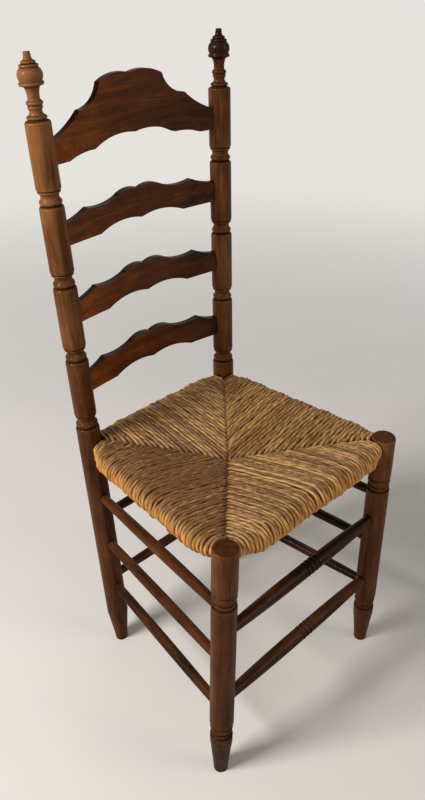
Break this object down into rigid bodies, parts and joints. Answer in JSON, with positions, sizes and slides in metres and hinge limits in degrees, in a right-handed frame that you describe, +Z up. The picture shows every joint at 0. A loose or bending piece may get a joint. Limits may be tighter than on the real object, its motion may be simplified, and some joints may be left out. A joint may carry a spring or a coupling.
{
  "type": "ladder-back chair",
  "caption": "Ladder-back dining chair with turned posts and finials, scalloped bent slats, round rungs and a dished seat of twisted rush woven over hidden rails.",
  "frame": {"origin": "on the floor, under the middle of the chair's outline", "axes": "+Z up, +X to the right of a person facing the back of the chair from its front, -Y out of the front of the seat"},
  "size_m": [0.4103, 0.4086, 1.0521],
  "materials": {
    "stained_wood": "satin",
    "raw_wood": "matte",
    "rush": "matte",
    "straw": "matte"
  },
  "bodies": {
    "root": {"front_post_left": "stained_wood", "front_post_right": "stained_wood", "rear_post_left": "stained_wood", "rear_post_right": "stained_wood", "crest_slat": "stained_wood", "upper_slat": "stained_wood", "middle_slat": "stained_wood", "lower_slat": "stained_wood", "front_rung_upper": "stained_wood", "front_rung_lower": "stained_wood", "left_rung_upper": "stained_wood", "left_rung_middle": "stained_wood", "left_rung_lower": "stained_wood", "right_rung_upper": "stained_wood", "right_rung_middle": "stained_wood", "right_rung_lower": "stained_wood", "back_rung_upper": "stained_wood", "back_rung_lower": "stained_wood", "front_seat_rail": "raw_wood", "back_seat_rail": "raw_wood", "left_seat_rail": "raw_wood", "right_seat_rail": "raw_wood", "woven_rush_seat": "rush", "straw_stuffing": "straw"}
  },
  "joints": []
}
